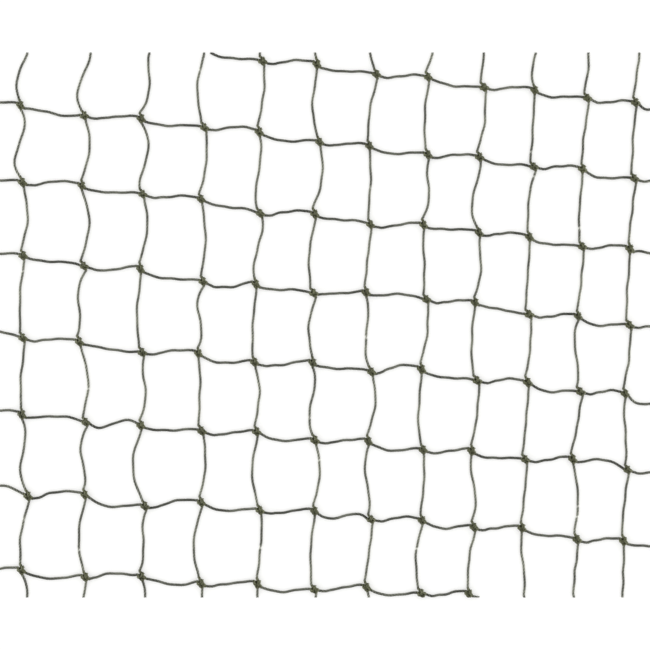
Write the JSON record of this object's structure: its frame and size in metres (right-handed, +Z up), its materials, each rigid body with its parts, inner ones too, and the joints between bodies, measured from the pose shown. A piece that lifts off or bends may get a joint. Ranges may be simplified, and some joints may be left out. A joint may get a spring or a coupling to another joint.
{
  "type": "balcony safety net",
  "caption": "Cut length of knotted olive twine netting with near-square meshes, lying flat, for closing off a balcony.",
  "frame": {"origin": "middle of the netting, on the surface it lies on", "axes": "+X across the columns of knots, +Y up the net from its lowest row, +Z up out of its face"},
  "size_m": [0.295, 0.2452, 0.0028],
  "materials": {
    "olive_twine": "matte twisted twine, olive green, with a slight sheen"
  },
  "bodies": {
    "root": {"net": "olive_twine"}
  },
  "joints": []
}
